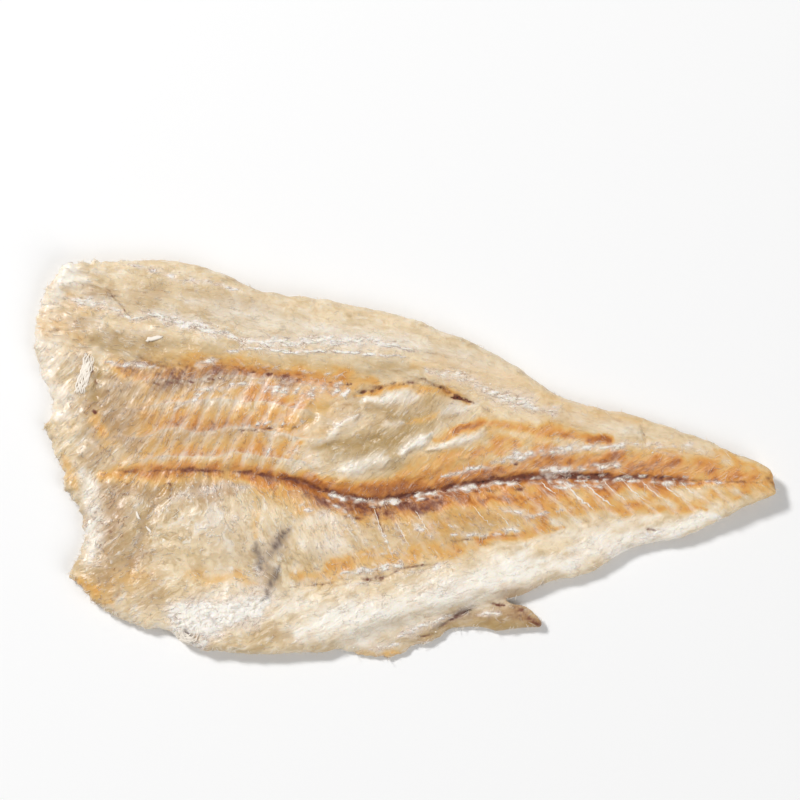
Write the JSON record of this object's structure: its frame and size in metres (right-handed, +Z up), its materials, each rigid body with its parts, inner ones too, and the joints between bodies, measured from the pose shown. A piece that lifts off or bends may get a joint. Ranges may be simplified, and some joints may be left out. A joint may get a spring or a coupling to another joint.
{
  "type": "roasted cod fillet",
  "caption": "Flat split side of dried, roasted cod, wide and torn at the shoulder and tapering to the tail, with a spine groove, flaky pads, rolled edges and a torn strip; a savoury snack.",
  "frame": {"origin": "middle of the footprint, on the surface that the fillet lies on", "axes": "+X from the shoulder end to the tail, +Y towards the back edge, +Z up, out of the cut face"},
  "size_m": [0.2498, 0.1338, 0.0103],
  "materials": {
    "flesh": "dry, fibrous, golden cream with browned streaks"
  },
  "bodies": {
    "root": {"fillet": "flesh"}
  },
  "joints": []
}
